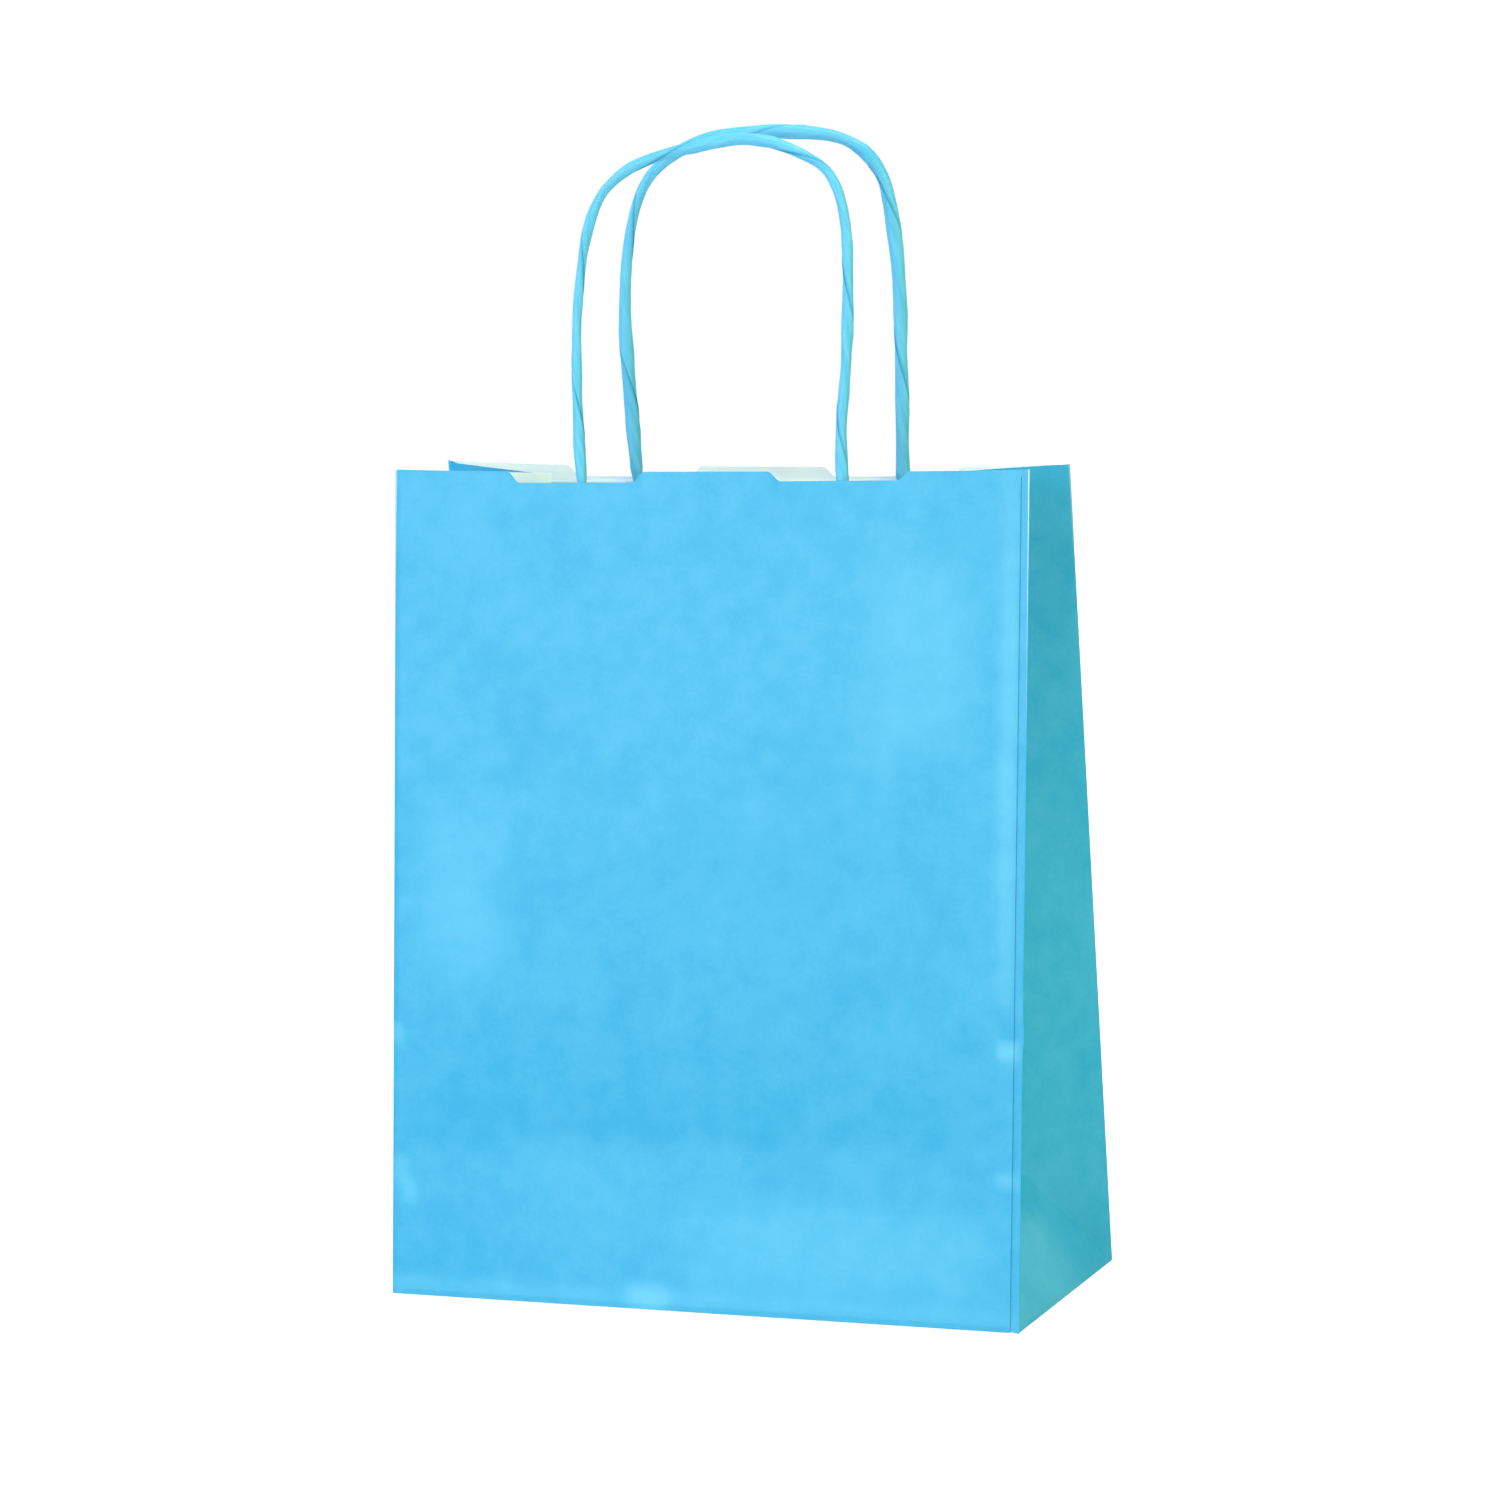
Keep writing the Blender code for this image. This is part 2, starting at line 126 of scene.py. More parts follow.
bpy.ops.object.select_all(action='DESELECT')
bpy.ops.mesh.primitive_plane_add(size=TABLE_SIZE, location=(0.0, 0.0, 0.0))
table = bpy.context.object
table.name = "table"
table_paint = bpy.data.materials.new("white_table_top")
table_paint.use_nodes = True
tree = table_paint.node_tree
tree.nodes.clear()
plain_coat = add_node(tree, 'ShaderNodeBsdfDiffuse', {"Color": paint(TABLE_GREY)})
shown_coat = add_node(tree, 'ShaderNodeBsdfDiffuse', {"Color": paint(TABLE_SHOWN_GREY)})
glow = add_node(tree, 'ShaderNodeEmission', {"Color": WHITE, "Strength": TABLE_GLOW})
glowing = add_node(tree, 'ShaderNodeAddShader', {0: glow.outputs[0], 1: shown_coat.outputs[0]})
seen = shown_or_lit(tree, plain_coat, glowing)
add_node(tree, 'ShaderNodeOutputMaterial', {"Surface": seen.outputs[0]})
table.data.materials.append(table_paint)


def add_softbox(name, azimuth, elevation, distance, size, watts, colour):
    """Square area light aimed at the bag. The azimuth is seen from above, from the front."""
    lamp = bpy.data.lights.new(name, 'AREA')
    lamp.shape = 'SQUARE'
    lamp.size = size
    lamp.energy = watts
    lamp.color = paint(colour)[:3]
    softbox = bpy.data.objects.new(name, lamp)
    scene.collection.objects.link(softbox)
    turn = math.radians(azimuth)
    climb = math.radians(elevation)
    towards = Vector((math.sin(turn) * math.cos(climb), -math.cos(turn) * math.cos(climb),
                      math.sin(climb)))
    softbox.location = Vector((0.0, 0.0, AIM_HEIGHT)) + towards * distance
    softbox.rotation_euler = towards.to_track_quat('Z', 'Y').to_euler()


# Each softbox: its name, azimuth, elevation, distance, size, watts and colour
SOFTBOXES = (
    ("key_softbox", -21.0, 8.5, 2.0, 0.62, 15.0, "f8faff"),
    ("fill_softbox", -30.0, 26.0, 2.0, 0.9, 7.0, "e2eeff"),
    ("side_softbox", 68.0, 24.0, 2.0, 1.0, 25.0, "eeffa8"),
    ("left_softbox", -95.0, 20.0, 2.0, 1.0, 14.0, "f8ffb8"),
    ("top_softbox", 0.0, 84.0, 1.8, 1.0, 28.0, "f0f8ff"),
    ("back_softbox", 190.0, 20.0, 2.2, 1.0, 30.0, "ffffff"),
)
for softbox_settings in SOFTBOXES:
    add_softbox(*softbox_settings)


# Bag sheet
# One sheet of kraft paper, printed blue outside and left nearly white inside. It is folded into
# two panels and two inward gussets, closed by a glued lap beside the front right corner, and its
# lower end is folded under in mitred triangles that make the flat base.
PAPER = 0.0002                # thickness of the sheet
GLUE_GAP = 0.0001             # between the two layers of the lap
FRONT_RIM_INSET = 0.0215      # how far the front rim stands behind the base's front edge
BACK_RIM_INSET = 0.0278       # how far the back rim stands before the base's back edge
FRONT_RIM_DIP = 0.0006        # how far a rim sags between its corners
BACK_RIM_DIP = 0.0012
APEX_INSET = 0.018            # how far the point of a side triangle is pushed in
GUSSET_RIM_DROP = 0.0026      # how far a gusset's inner fold ends below the front rim
SEAM_INSET = 0.0026           # from the lap's cut edge to the right corner
LAP_WIDTH = 0.0115
LAP_FOOT = 0.001              # the lap's lower end stays this far above the base
FOLD_WIDTH = 0.0003           # width of the rounding along a fold
FOLD_TURN = math.radians(12)  # edges that turn more than this are folds
CELL = 0.002                  # the sheet is ruled into cells of this size
HALFWAY_UP = 0.1              # a vertex above this belongs to the rim, before the ruling
FACING = 0.8                  # a face looks along an axis if this much of its normal does
FOLD_SHARE = 0.8              # the part of a side in which a vertex is taken for its fold
NEAR = 0.0001                 # places closer than this count as one

half_width, half_depth, rim_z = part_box("bag_body")[1]
base_z = 2 * PAPER
panel_length = math.hypot(rim_z - base_z, FRONT_RIM_INSET)
back_rim_z = base_z + math.sqrt(panel_length ** 2 - BACK_RIM_INSET ** 2)
seam_x = half_width - SEAM_INSET
front_rim_y = FRONT_RIM_INSET - half_depth
back_rim_y = half_depth - BACK_RIM_INSET
middle_y = (front_rim_y + back_rim_y) / 2


def pick(thing, kind, test):
    """Selects only the vertices, edges or faces that pass the test. Edit mode."""
    shape = bmesh.from_edit_mesh(thing.data)
    for part in (*shape.verts, *shape.edges, *shape.faces):
        part.select_set(False)
    for part in getattr(shape, kind):
        if test(part):
            part.select_set(True)
    bmesh.update_edit_mesh(thing.data)


def middle(part):
    """Centre of an edge or a face."""
    return sum((vert.co for vert in part.verts), Vector()) / len(part.verts)


def looks_aside(face):
    """Whether a face looks to the left or right."""
    return abs(face.normal.x) > FACING


def looks_forward(face):
    """Whether a face looks to the front."""
    return face.normal.y < -FACING


def cut(place, normal):
    """Cuts the selected faces along a plane."""
    bpy.ops.mesh.bisect(plane_co=place, plane_no=normal)


bpy.ops.object.select_all(action='DESELECT')
bpy.ops.mesh.primitive_cube_add(size=1.0, location=(0.0, 0.0, (base_z + rim_z) / 2))
sheet = bpy.context.object
sheet.name = "bag_sheet"
sheet.scale = (2 * half_width, 2 * half_depth, rim_z - base_z)
bpy.ops.object.transform_apply(location=True, rotation=False, scale=True)
bpy.ops.object.mode_set(mode='EDIT')
bpy.ops.mesh.select_mode(type='FACE')
pick(sheet, "faces", lambda face: face.normal.z > FACING)
bpy.ops.mesh.delete(type='ONLY_FACE')
bpy.ops.mesh.select_mode(type='VERT')
pick(sheet, "verts", lambda vert: vert.co.z > HALFWAY_UP and vert.co.y < 0.0)
bpy.ops.transform.translate(value=(0.0, FRONT_RIM_INSET, 0.0))
pick(sheet, "verts", lambda vert: vert.co.z > HALFWAY_UP and vert.co.y > 0.0)
bpy.ops.transform.translate(value=(0.0, -BACK_RIM_INSET, back_rim_z - rim_z))

# The sides get the gusset's inner fold and the two mitres, and the fold is pushed in.
bpy.ops.mesh.select_mode(type='FACE')
pick(sheet, "faces", looks_aside)
cut((0.0, 0.0, base_z), (0.0, rim_z - base_z, -middle_y))
pick(sheet, "faces", lambda face: looks_aside(face) and middle(face).y < middle_y)
cut((0.0, -half_depth, base_z), (0.0, 1.0, -1.0))
pick(sheet, "faces", lambda face: looks_aside(face) and middle(face).y > middle_y)
cut((0.0, half_depth, base_z), (0.0, 1.0, 1.0))
half_gap = (back_rim_y - front_rim_y) / 2
fold_depth = math.sqrt(half_depth ** 2 - half_gap ** 2 - GUSSET_RIM_DROP ** 2)
apex_height = math.sqrt(half_depth ** 2 - APEX_INSET ** 2)
bpy.ops.mesh.select_mode(type='VERT')
for side in (-1, 1):
    apex = Vector((side * (half_width - APEX_INSET), 0.0, base_z + apex_height))
    fold_top = Vector((side * (half_width - fold_depth), middle_y, rim_z - GUSSET_RIM_DROP))
    on_fold = [vert.co.copy() for vert in bmesh.from_edit_mesh(sheet.data).verts
               if vert.co.x * side > 0.0 and abs(vert.co.y - middle_y) < half_gap * FOLD_SHARE
               and vert.co.z > base_z + NEAR]
    for old in on_fold:
        pick(sheet, "verts", lambda vert: (vert.co - old).length < NEAR)
        bpy.ops.transform.translate(value=(fold_top if old.z > HALFWAY_UP else apex) - old)
bpy.ops.mesh.select_all(action='SELECT')
bpy.ops.mesh.remove_doubles(threshold=NEAR / 10)

# The front panel ends in the lap's cut edge. The strip beyond it steps in by one thickness and
# runs on under the panel as the lap.
bpy.ops.mesh.select_mode(type='FACE')
pick(sheet, "faces", looks_forward)
cut((seam_x, 0.0, 0.0), (1.0, 0.0, 0.0))
bpy.ops.mesh.select_mode(type='EDGE')
pick(sheet, "edges", lambda edge: all(abs(vert.co.x - seam_x) < NEAR for vert in edge.verts)
     or all(vert.co.x > seam_x - NEAR and vert.co.y < NEAR - half_depth
            and vert.co.z < base_z + NEAR for vert in edge.verts))
bpy.ops.mesh.edge_split(type='EDGE')
pick(sheet, "edges", lambda edge: all(abs(vert.co.x - seam_x) < NEAR for vert in edge.verts)
     and all(middle(face).x > seam_x for face in edge.link_faces))
bpy.ops.transform.translate(value=(0.0, PAPER + GLUE_GAP, 0.0))
bpy.ops.mesh.extrude_edges_move(TRANSFORM_OT_translate={"value": (-LAP_WIDTH, 0.0, 0.0)})
bpy.ops.mesh.select_mode(type='VERT')
pick(sheet, "verts", lambda vert: vert.co.z < base_z + NEAR and 0.0 < vert.co.x < seam_x - NEAR
     and NEAR < vert.co.y + half_depth < 2 * (PAPER + GLUE_GAP))
bpy.ops.transform.translate(value=(0.0, 0.0, LAP_FOOT))

# Every fold is rounded a little, and the sheet is ruled into small cells.
bpy.ops.mesh.select_mode(type='EDGE')
bpy.ops.mesh.select_all(action='DESELECT')
bpy.ops.mesh.edges_select_sharp(sharpness=FOLD_TURN)
bpy.ops.mesh.bevel(offset=FOLD_WIDTH, segments=2, affect='EDGES')
row_count = round((rim_z - base_z) / CELL)
for row in range(1, row_count):
    bpy.ops.mesh.select_all(action='SELECT')
    cut((0.0, 0.0, base_z + (rim_z - base_z) * row / row_count), (0.0, 0.0, 1.0))
column_count = round(2 * half_width / CELL)
for column in range(1, column_count):
    bpy.ops.mesh.select_all(action='SELECT')
    cut((half_width * (2 * column / column_count - 1), 0.0, 0.0), (1.0, 0.0, 0.0))

# Each rim has two notches, in which the cords stand. Their sloping ends need closer columns.
NOTCH_INNER = 0.0175          # from a rim's middle to the notches' ends
NOTCH_OUTER = 0.0570
NOTCH_SLOPE = 0.0035
NOTCH_DEPTH = 0.0027
NOTCH_TILT = 0.0004           # how much deeper the outer end of a left notch is cut
BACK_NOTCH_SHIFT = 0.003
BACK_NOTCH_EXTRA = 0.00025
NOTCH_REACH = 0.008           # the rows in this strip below the rim move down with it
SLOPE_CUTS = 6


def notch_ends(shift):
    """Places along the rim at which a notch starts or ends, with the way its floor lies."""
    return [(shift + side * NOTCH_INNER, side) for side in (-1, 1)] + [
        (shift + side * NOTCH_OUTER, -side) for side in (-1, 1)]


def share_of_one(value):
    """The value, kept from 0 to 1."""
    return min(1.0, max(0.0, value))


def notch_depth(x, shift, extra=0.0):
    """How far the notches lower the rim at x, with soft corners at both ends of the slope.
    They were cut askew, a little deeper on the left."""
    away = abs(x - shift)
    share = share_of_one(min(away - NOTCH_INNER, NOTCH_OUTER - away) / NOTCH_SLOPE)
    deep = NOTCH_DEPTH + extra - NOTCH_TILT * x / NOTCH_OUTER
    return deep * share * share * (3.0 - 2.0 * share)


bpy.ops.mesh.select_mode(type='FACE')
for shift, facing in ((0.0, -1.0), (BACK_NOTCH_SHIFT, 1.0)):
    for start, way in notch_ends(shift):
        for number in range(SLOPE_CUTS + 1):
            x = start + way * NOTCH_SLOPE * number / SLOPE_CUTS
            pick(sheet, "faces", lambda face: face.normal.y * facing > FACING
                 and middle(face).z > rim_z - NOTCH_REACH and abs(middle(face).x - x) < CELL)
            cut((x, 0.0, 0.0), (1.0, 0.0, 0.0))

# The front carries the crease of its flat fold, which ran a little askew.
CREASE_AT = 0.0447            # up the panel, at its middle
CREASE_SLANT = 0.0035         # how much higher it is at the right corner
CREASE_DEPTH = 0.0016
CREASE_FADE = 0.055           # height over which the dent above it runs out
CREASE_ROUND = 0.0024         # half the width over which it is rounded
CREASE_LOW, CREASE_HIGH = 0.035, 0.055
RUN_OUT = 4
up_share = (rim_z - base_z) / panel_length
for offset in (-CREASE_ROUND, -CREASE_ROUND / 2, 0.0, CREASE_ROUND / 2, CREASE_ROUND):
    pick(sheet, "faces", lambda face: looks_forward(face)
         and CREASE_LOW < middle(face).z < CREASE_HIGH)
    cut((0.0, 0.0, base_z + (CREASE_AT + offset) * up_share),
        (-CREASE_SLANT / half_width, 0.0, 1.0))
bpy.ops.object.mode_set(mode='OBJECT')


def between_corners(x):
    """1 along most of a panel, and 0 at its corner folds."""
    return max(0.0, 1.0 - (abs(x) / half_width) ** RUN_OUT)


def crease_dent(x, along):
    """How far the crease pushes the front panel in, rounded off at the crease itself."""
    crease = CREASE_AT + CREASE_SLANT * x / half_width
    total = 0.0
    for offset in (-CREASE_ROUND, 0.0, CREASE_ROUND):
        past = along + offset - crease
        if past > 0.0:
            total += max(0.0, 1.0 - past / CREASE_FADE) ** 2
        else:
            total += max(0.0, 1.0 + past / crease)
    return CREASE_DEPTH * total / 3 * between_corners(x)


# The real bag stands a little askew. Each corner lies off its square place, across and up.
LEFT, RIGHT, FRONT, BACK, BASE, RIM = -1, 1, -1, 1, 0, 1
ASKEW = {
    (LEFT, FRONT, BASE): (0.0006, 0.0), (RIGHT, FRONT, BASE): (-0.0007, 0.0),
    (LEFT, BACK, BASE): (0.0, 0.0), (RIGHT, BACK, BASE): (-0.0001, 0.0),
    (LEFT, FRONT, RIM): (0.0002, -0.0003), (RIGHT, FRONT, RIM): (0.0, 0.0004),
    (LEFT, BACK, RIM): (0.0, 0.0001), (RIGHT, BACK, RIM): (0.0, -0.0004),
}


def askew(x, depth, height):
    """Offset across and up, from the corners. Depth and height run from 0 to 1."""
    across = 0.0
    up = 0.0
    for (side, face, level), (corner_across, corner_up) in ASKEW.items():
        share = (1.0 + side * x / half_width) / 2
        share *= depth if face == BACK else 1.0 - depth
        share *= height if level == RIM else 1.0 - height
        across += share * corner_across
        up += share * corner_up
    return across, up


def ripple(x, z, seed, size):
    """Soft unevenness of the sheet, from -1 to 1, with waves of the given size."""
    return noise.noise(Vector((x / size, seed, z / size)))


# Patches of painted sheen and painted shade on the front's print. They stand in for the light on
# its dents, its crease, the bulges under its notches and its tilted parts. Each has its middle
# across and up, its reach both ways, and its strength.
# Above 0 the print is painted paler, below 0 it is painted darker.
FRONT_LIGHT_MARKS = (
    (0.0850, 0.0805, 0.0024, 0.0036, -0.9), (0.0858, 0.0735, 0.0030, 0.0028, 0.7),
    (-0.0885, 0.0780, 0.0020, 0.0030, -0.5), (-0.0888, 0.0715, 0.0020, 0.0034, 0.5),
    (-0.0880, 0.0345, 0.0026, 0.0040, 0.5), (-0.0852, 0.0285, 0.0026, 0.0036, 0.45),
    (0.0862, 0.0400, 0.0036, 0.0022, 0.55), (0.0846, 0.1500, 0.0026, 0.0700, 0.5),
    (-0.0146, 0.0034, 0.0066, 0.0044, 0.65), (-0.0450, 0.2150, 0.0080, 0.0070, -0.45),
    (0.0265, 0.2150, 0.0100, 0.0070, -0.45), (-0.0490, 0.1570, 0.0140, 0.0160, -0.35),
    (0.0280, 0.1280, 0.0120, 0.0220, -0.35), (0.0600, 0.1750, 0.0160, 0.0260, 0.30),
    (-0.0700, 0.1100, 0.0140, 0.0260, 0.25), (0.0400, 0.0180, 0.0500, 0.0120, 0.35),
    (-0.0300, 0.0500, 0.0300, 0.0050, -0.35), (-0.0750, 0.0480, 0.0150, 0.0060, -0.45),
)
MARK_LIMIT = 9.0              # past this exponent a mark has faded out
LOW_BAND = 0.006              # below this the print is paler
LOW_BAND_EDGE = 0.002
LOW_BAND_PALING = 0.3


def front_light_and_paling(x, z):
    """Painted light (above 0) and painted shade (below 0) on the front's print at a place, from
    about 1 to -1, with a paler band along the bottom.
    """
    total = LOW_BAND_PALING * share_of_one((LOW_BAND - z) / LOW_BAND_EDGE + 0.5)
    for mark_x, mark_z, reach_x, reach_z, strength in FRONT_LIGHT_MARKS:
        away = ((x - mark_x) / reach_x) ** 4 + ((z - mark_z) / reach_z) ** 4
        if away < MARK_LIMIT:
            total += strength * math.exp(-away)
    return total


# The flat shape is now given the set of the real bag, and its print the painted light and shade,
# vertex by vertex.
PANEL_SKIN = 0.0012           # vertices this close to a panel's plane belong to it
FRONT_REACH = 0.002           # the front's painted light and shade run on round its corners this far
PANEL_SWELL = 0.00022
PANEL_WAVE = 0.035
PANEL_CALM = 0.6              # how much calmer the panels are at the rim than at the base
PANEL_WAKE = 5.0              # the ripples reach full strength in a fifth of the height
SEED = 7.3
BULGE_AT = 0.078              # a dent in the right corner pushes the paper out here
BULGE = 0.0004
BULGE_REACH = 0.004
BULGE_NARROW = 60
GUSSET_SWELL = 0.0004
GUSSET_WAKE = 8.0
GUSSET_SQUEEZE = 2.0          # its waves are this much shorter from front to back
MITRE_EDGE = 0.004            # painted light makes the mitred triangles paler up to their edges
GUSSET_FOOT_LIGHT = 0.45
GUSSET_CORNER_SHADE = 0.6           # painted shade on the print just above the mitres, at the back corner
CORNER_AT, CORNER_REACH = 1.4, 1.1
SHORT_CUT = 0.0006            # the left gusset's back half was cut this much short
SHORT_CUT_END = 0.012
painted_light_and_paling = sheet.data.attributes.new("painted_light_and_paling", 'FLOAT', 'POINT')
for vert in sheet.data.vertices:
    x, y, z = vert.co
    height = (z - base_z) / (rim_z - base_z)
    front_y = -half_depth + FRONT_RIM_INSET * height
    back_y = half_depth - BACK_RIM_INSET * height
    if y < front_y + FRONT_REACH:
        painted_light_and_paling.data[vert.index].value = front_light_and_paling(x, z)
        if x > 0.0:
            bulge = math.exp(-((z - BULGE_AT) / BULGE_REACH) ** 2)
            vert.co.x += BULGE * bulge * (x / half_width) ** BULGE_NARROW
    depth = (y - front_y) / (back_y - front_y)
    across, up = askew(x, depth, height)
    vert.co.x += across
    vert.co.z += up
    if height < NEAR:
        continue
    near_rim = max(0.0, 1.0 - (rim_z - z) / NOTCH_REACH)
    calm = between_corners(x) * min(1.0, height * PANEL_WAKE) * (1.0 - PANEL_CALM * height)
    if abs(y - front_y) < PANEL_SKIN:
        vert.co.y += crease_dent(x, (z - base_z) / up_share)
        vert.co.y += PANEL_SWELL * ripple(x, z, SEED, PANEL_WAVE) * calm
        vert.co.z -= FRONT_RIM_DIP * between_corners(x) * height
        vert.co.z -= notch_depth(x, 0.0) * near_rim
    elif abs(y - back_y) < PANEL_SKIN:
        vert.co.y += PANEL_SWELL * ripple(x, z, -SEED, PANEL_WAVE) * calm
        vert.co.z -= BACK_RIM_DIP * between_corners(x) * height
        vert.co.z -= notch_depth(x, BACK_NOTCH_SHIFT, BACK_NOTCH_EXTRA) * near_rim
    else:
        # On the gussets, painted light makes the mitred triangles paler, and painted shade darkens
        # the print just above them at the back corner.
        under = (half_depth * (1.0 - depth) - z) / MITRE_EDGE
        above = math.exp(-((under + CORNER_AT) / CORNER_REACH) ** 2)
        painted_light_and_paling.data[vert.index].value = (GUSSET_FOOT_LIGHT * share_of_one(under + 0.5)
                                       - GUSSET_CORNER_SHADE * above * depth ** 2)
        if x < 0.0 and 0.5 < depth:
            vert.co.z -= SHORT_CUT * near_rim * min(1.0, (1.0 - depth) / SHORT_CUT_END)
        inner = min(depth, 1.0 - depth) * min(1.0, height * GUSSET_WAKE)
        vert.co.x += GUSSET_SWELL * ripple(y * GUSSET_SQUEEZE, z, x, PANEL_WAVE) * inner


# The print lies only on the outside. Inside, the bleached paper is nearly white, and the cut
# edges show the same paper. Real fibres are finer than 0.1 mm, and are drawn coarser to show.
BLOTCH = 0.024                # where the ink took unevenly
CLOUD = 0.0065                # the paper's uneven thickness, as against the light
FIBRE = 0.0011
PULP_CLOUD = 0.006
BLOTCH_SHARE, CLOUD_SHARE, FIBRE_SHARE = 0.35, 0.40, 0.25
DEEP_PRINT = "209bcf"
PALE_PRINT = "3aa4d5"
# Painted sheen and the paler bottom band take the print towards the first colour below, painted
# shade towards the second.
SHEEN_AND_PALING_PRINT = "7fd2f5"
SHADED_PRINT = "0f93cc"
DULL_PULP = "e9f6ff"
BRIGHT_PULP = "f1fafe"


def semi_matt_coat(shader):
    """A dull base under a thin glaze, which gives printed and dyed paper its faint sheen."""
    shader.inputs["Roughness"].default_value = 0.9
    shader.inputs["Specular IOR Level"].default_value = 0.0
    shader.inputs["Coat Weight"].default_value = 0.15
    shader.inputs["Coat Roughness"].default_value = 0.40
    shader.inputs["Coat IOR"].default_value = 2.3


def blue_print(name):
    """Machine-glazed kraft paper with a flexo-printed blue coat: semi-matt and slightly mottled,
    with painted sheen and painted shade laid on it, and a paler band along the front's bottom."""
    made = bpy.data.materials.new(name)
    made.use_nodes = True
    tree = made.node_tree
    shader = tree.nodes["Principled BSDF"]
    place = add_node(tree, 'ShaderNodeTexCoord')
    blotches = add_node(tree, 'ShaderNodeTexNoise',
                        {"Vector": place.outputs["Object"], "Scale": 1 / BLOTCH, "Detail": 2.0,
                         "Roughness": 0.5})
    clouds = add_node(tree, 'ShaderNodeTexNoise',
                      {"Vector": place.outputs["Object"], "Scale": 1 / CLOUD, "Detail": 2.0,
                       "Roughness": 0.5})
    fibres = add_node(tree, 'ShaderNodeTexNoise',
                      {"Vector": place.outputs["Object"], "Scale": 1 / FIBRE, "Detail": 3.0,
                       "Roughness": 0.6})
    wide = add_node(tree, 'ShaderNodeMath', {0: blotches.outputs["Fac"], 1: BLOTCH_SHARE},
                    operation='MULTIPLY')
    medium = add_node(tree, 'ShaderNodeMath', {0: clouds.outputs["Fac"], 1: CLOUD_SHARE,
                                               2: wide.outputs[0]}, operation='MULTIPLY_ADD')
    density = add_node(tree, 'ShaderNodeMath', {0: fibres.outputs["Fac"], 1: FIBRE_SHARE,
                                                2: medium.outputs[0]}, operation='MULTIPLY_ADD')
    tone = add_node(tree, 'ShaderNodeValToRGB', {"Fac": density.outputs[0]})
    tone.color_ramp.elements[0].position = 0.38
    tone.color_ramp.elements[0].color = paint(DEEP_PRINT)
    tone.color_ramp.elements[1].position = 0.62
    tone.color_ramp.elements[1].color = paint(PALE_PRINT)
    # This attribute paints sheen paler and shade darker into the print.
    light_and_paling = add_node(tree, 'ShaderNodeAttribute', attribute_name="painted_light_and_paling")
    pale = add_node(tree, 'ShaderNodeMapRange', {"Value": light_and_paling.outputs["Fac"], "From Min": 0.0,
                                                 "From Max": 1.0, "To Max": 0.45})
    deep = add_node(tree, 'ShaderNodeMapRange', {"Value": light_and_paling.outputs["Fac"], "From Min": 0.0,
                                                 "From Max": -1.0, "To Max": 0.45})
    lighter = add_node(tree, 'ShaderNodeMix', {"Factor": pale.outputs[0], 6: tone.outputs[0],
                                               7: paint(SHEEN_AND_PALING_PRINT)}, data_type='RGBA')
    darker = add_node(tree, 'ShaderNodeMix', {"Factor": deep.outputs[0], 6: lighter.outputs[2],
                                              7: paint(SHADED_PRINT)}, data_type='RGBA')
    tree.links.new(darker.outputs[2], shader.inputs["Base Color"])
    tooth = add_node(tree, 'ShaderNodeBump', {"Height": fibres.outputs["Fac"], "Strength": 0.25,
                                              "Distance": 0.00004})
    cockle = add_node(tree, 'ShaderNodeBump', {"Height": blotches.outputs["Fac"],
                                               "Strength": 0.1, "Distance": 0.0003,
                                               "Normal": tooth.outputs[0]})
    tree.links.new(cockle.outputs[0], shader.inputs["Normal"])
    semi_matt_coat(shader)
    return made


def plain_paper(name):
    """Bleached kraft paper, matt, with a trace of the print showing through."""
    made = bpy.data.materials.new(name)
    made.use_nodes = True
    tree = made.node_tree
    shader = tree.nodes["Principled BSDF"]
    place = add_node(tree, 'ShaderNodeTexCoord')
    cloud = add_node(tree, 'ShaderNodeTexNoise',
                     {"Vector": place.outputs["Object"], "Scale": 1 / PULP_CLOUD, "Detail": 4.0})
    tone = add_node(tree, 'ShaderNodeValToRGB', {"Fac": cloud.outputs["Fac"]})
    tone.color_ramp.elements[0].position = 0.3
    tone.color_ramp.elements[0].color = paint(DULL_PULP)
    tone.color_ramp.elements[1].position = 0.7
    tone.color_ramp.elements[1].color = paint(BRIGHT_PULP)
    tree.links.new(tone.outputs[0], shader.inputs["Base Color"])
    tooth = add_node(tree, 'ShaderNodeBump', {"Height": cloud.outputs["Fac"], "Strength": 0.3,
                                              "Distance": 0.00005})
    tree.links.new(tooth.outputs[0], shader.inputs["Normal"])
    shader.inputs["Roughness"].default_value = 0.8
    return made


bag_print = blue_print("blue_printed_kraft")
white_kraft = plain_paper("white_kraft")


def select_only(thing):
    """Selects one object and makes it the active one. Object mode."""
    bpy.ops.object.select_all(action='DESELECT')
    thing.select_set(True)
    bpy.context.view_layer.objects.active = thing


def make_printed_paper(thing):
    """Gives a surface the paper's thickness on its inside, with the print outside only."""
    thing.data.materials.append(bag_print)
    thing.data.materials.append(white_kraft)
    wall = thing.modifiers.new("paper_thickness", 'SOLIDIFY')
    wall.thickness = PAPER
    wall.offset = -1.0
    wall.use_even_offset = True
    wall.material_offset = 1
    wall.material_offset_rim = 1
    select_only(thing)
    bpy.ops.object.modifier_apply(modifier=wall.name)


make_printed_paper(sheet)

# The lap's cut edge gets the blue print instead of the white core, as painted shade for the thin
# shadow line along the lap.
CUT_EDGE_RIGHT, CUT_EDGE_WIDTH = 0.0004, 0.0014
for face in sheet.data.polygons:
    on_cut = 0.0 < seam_x + CUT_EDGE_RIGHT - face.center.x < CUT_EDGE_WIDTH
    if on_cut and looks_aside(face) and face.center.y < front_rim_y:
        face.material_index = 0
bpy.ops.object.shade_smooth_by_angle(angle=math.radians(40))
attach(sheet, "root")
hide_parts("bag_body")


